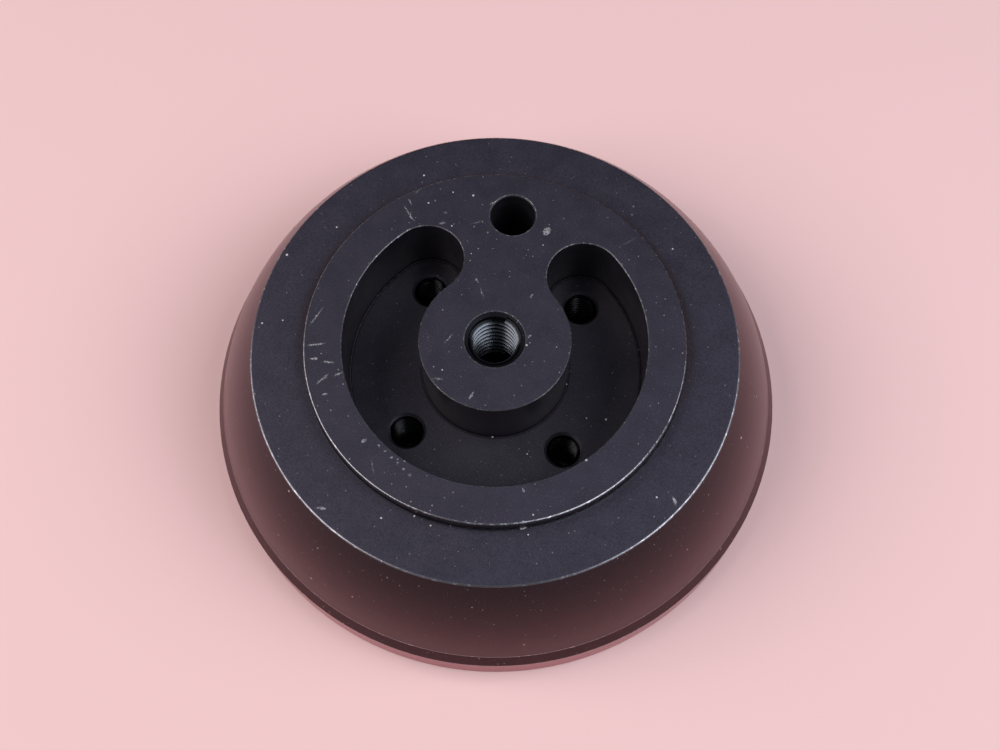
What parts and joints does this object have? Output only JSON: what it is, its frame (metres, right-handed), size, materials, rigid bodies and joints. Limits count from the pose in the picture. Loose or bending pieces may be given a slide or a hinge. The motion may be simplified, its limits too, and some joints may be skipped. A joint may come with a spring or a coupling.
{
  "type": "half-ball base",
  "caption": "Machined aluminium half-ball base: spherical flank, wide flat face, raised plateau with a C-shaped pocket, and steel wire inserts in its tapped holes.",
  "frame": {"origin": "centre of the wide flat face that the part stands on", "axes": "+Z along the dome's axis, from the wide face to the small plateau; +Y towards the plain hole in the land of the plateau"},
  "size_m": [0.11, 0.11, 0.03],
  "materials": {
    "anodised_body": "satin black anodised, worn to bright metal along its edges",
    "insert_steel": "bright stainless wire",
    "insert_coated": "steel wire with a dark dry-film coating"
  },
  "bodies": {
    "root": {"dome_body": "anodised_body", "centre_thread_insert": "insert_steel", "floor_thread_insert_rear_right": "insert_coated", "floor_thread_insert_rear_left": "insert_coated", "floor_thread_insert_front_left": "insert_coated", "floor_thread_insert_front_right": "insert_coated"}
  },
  "joints": []
}
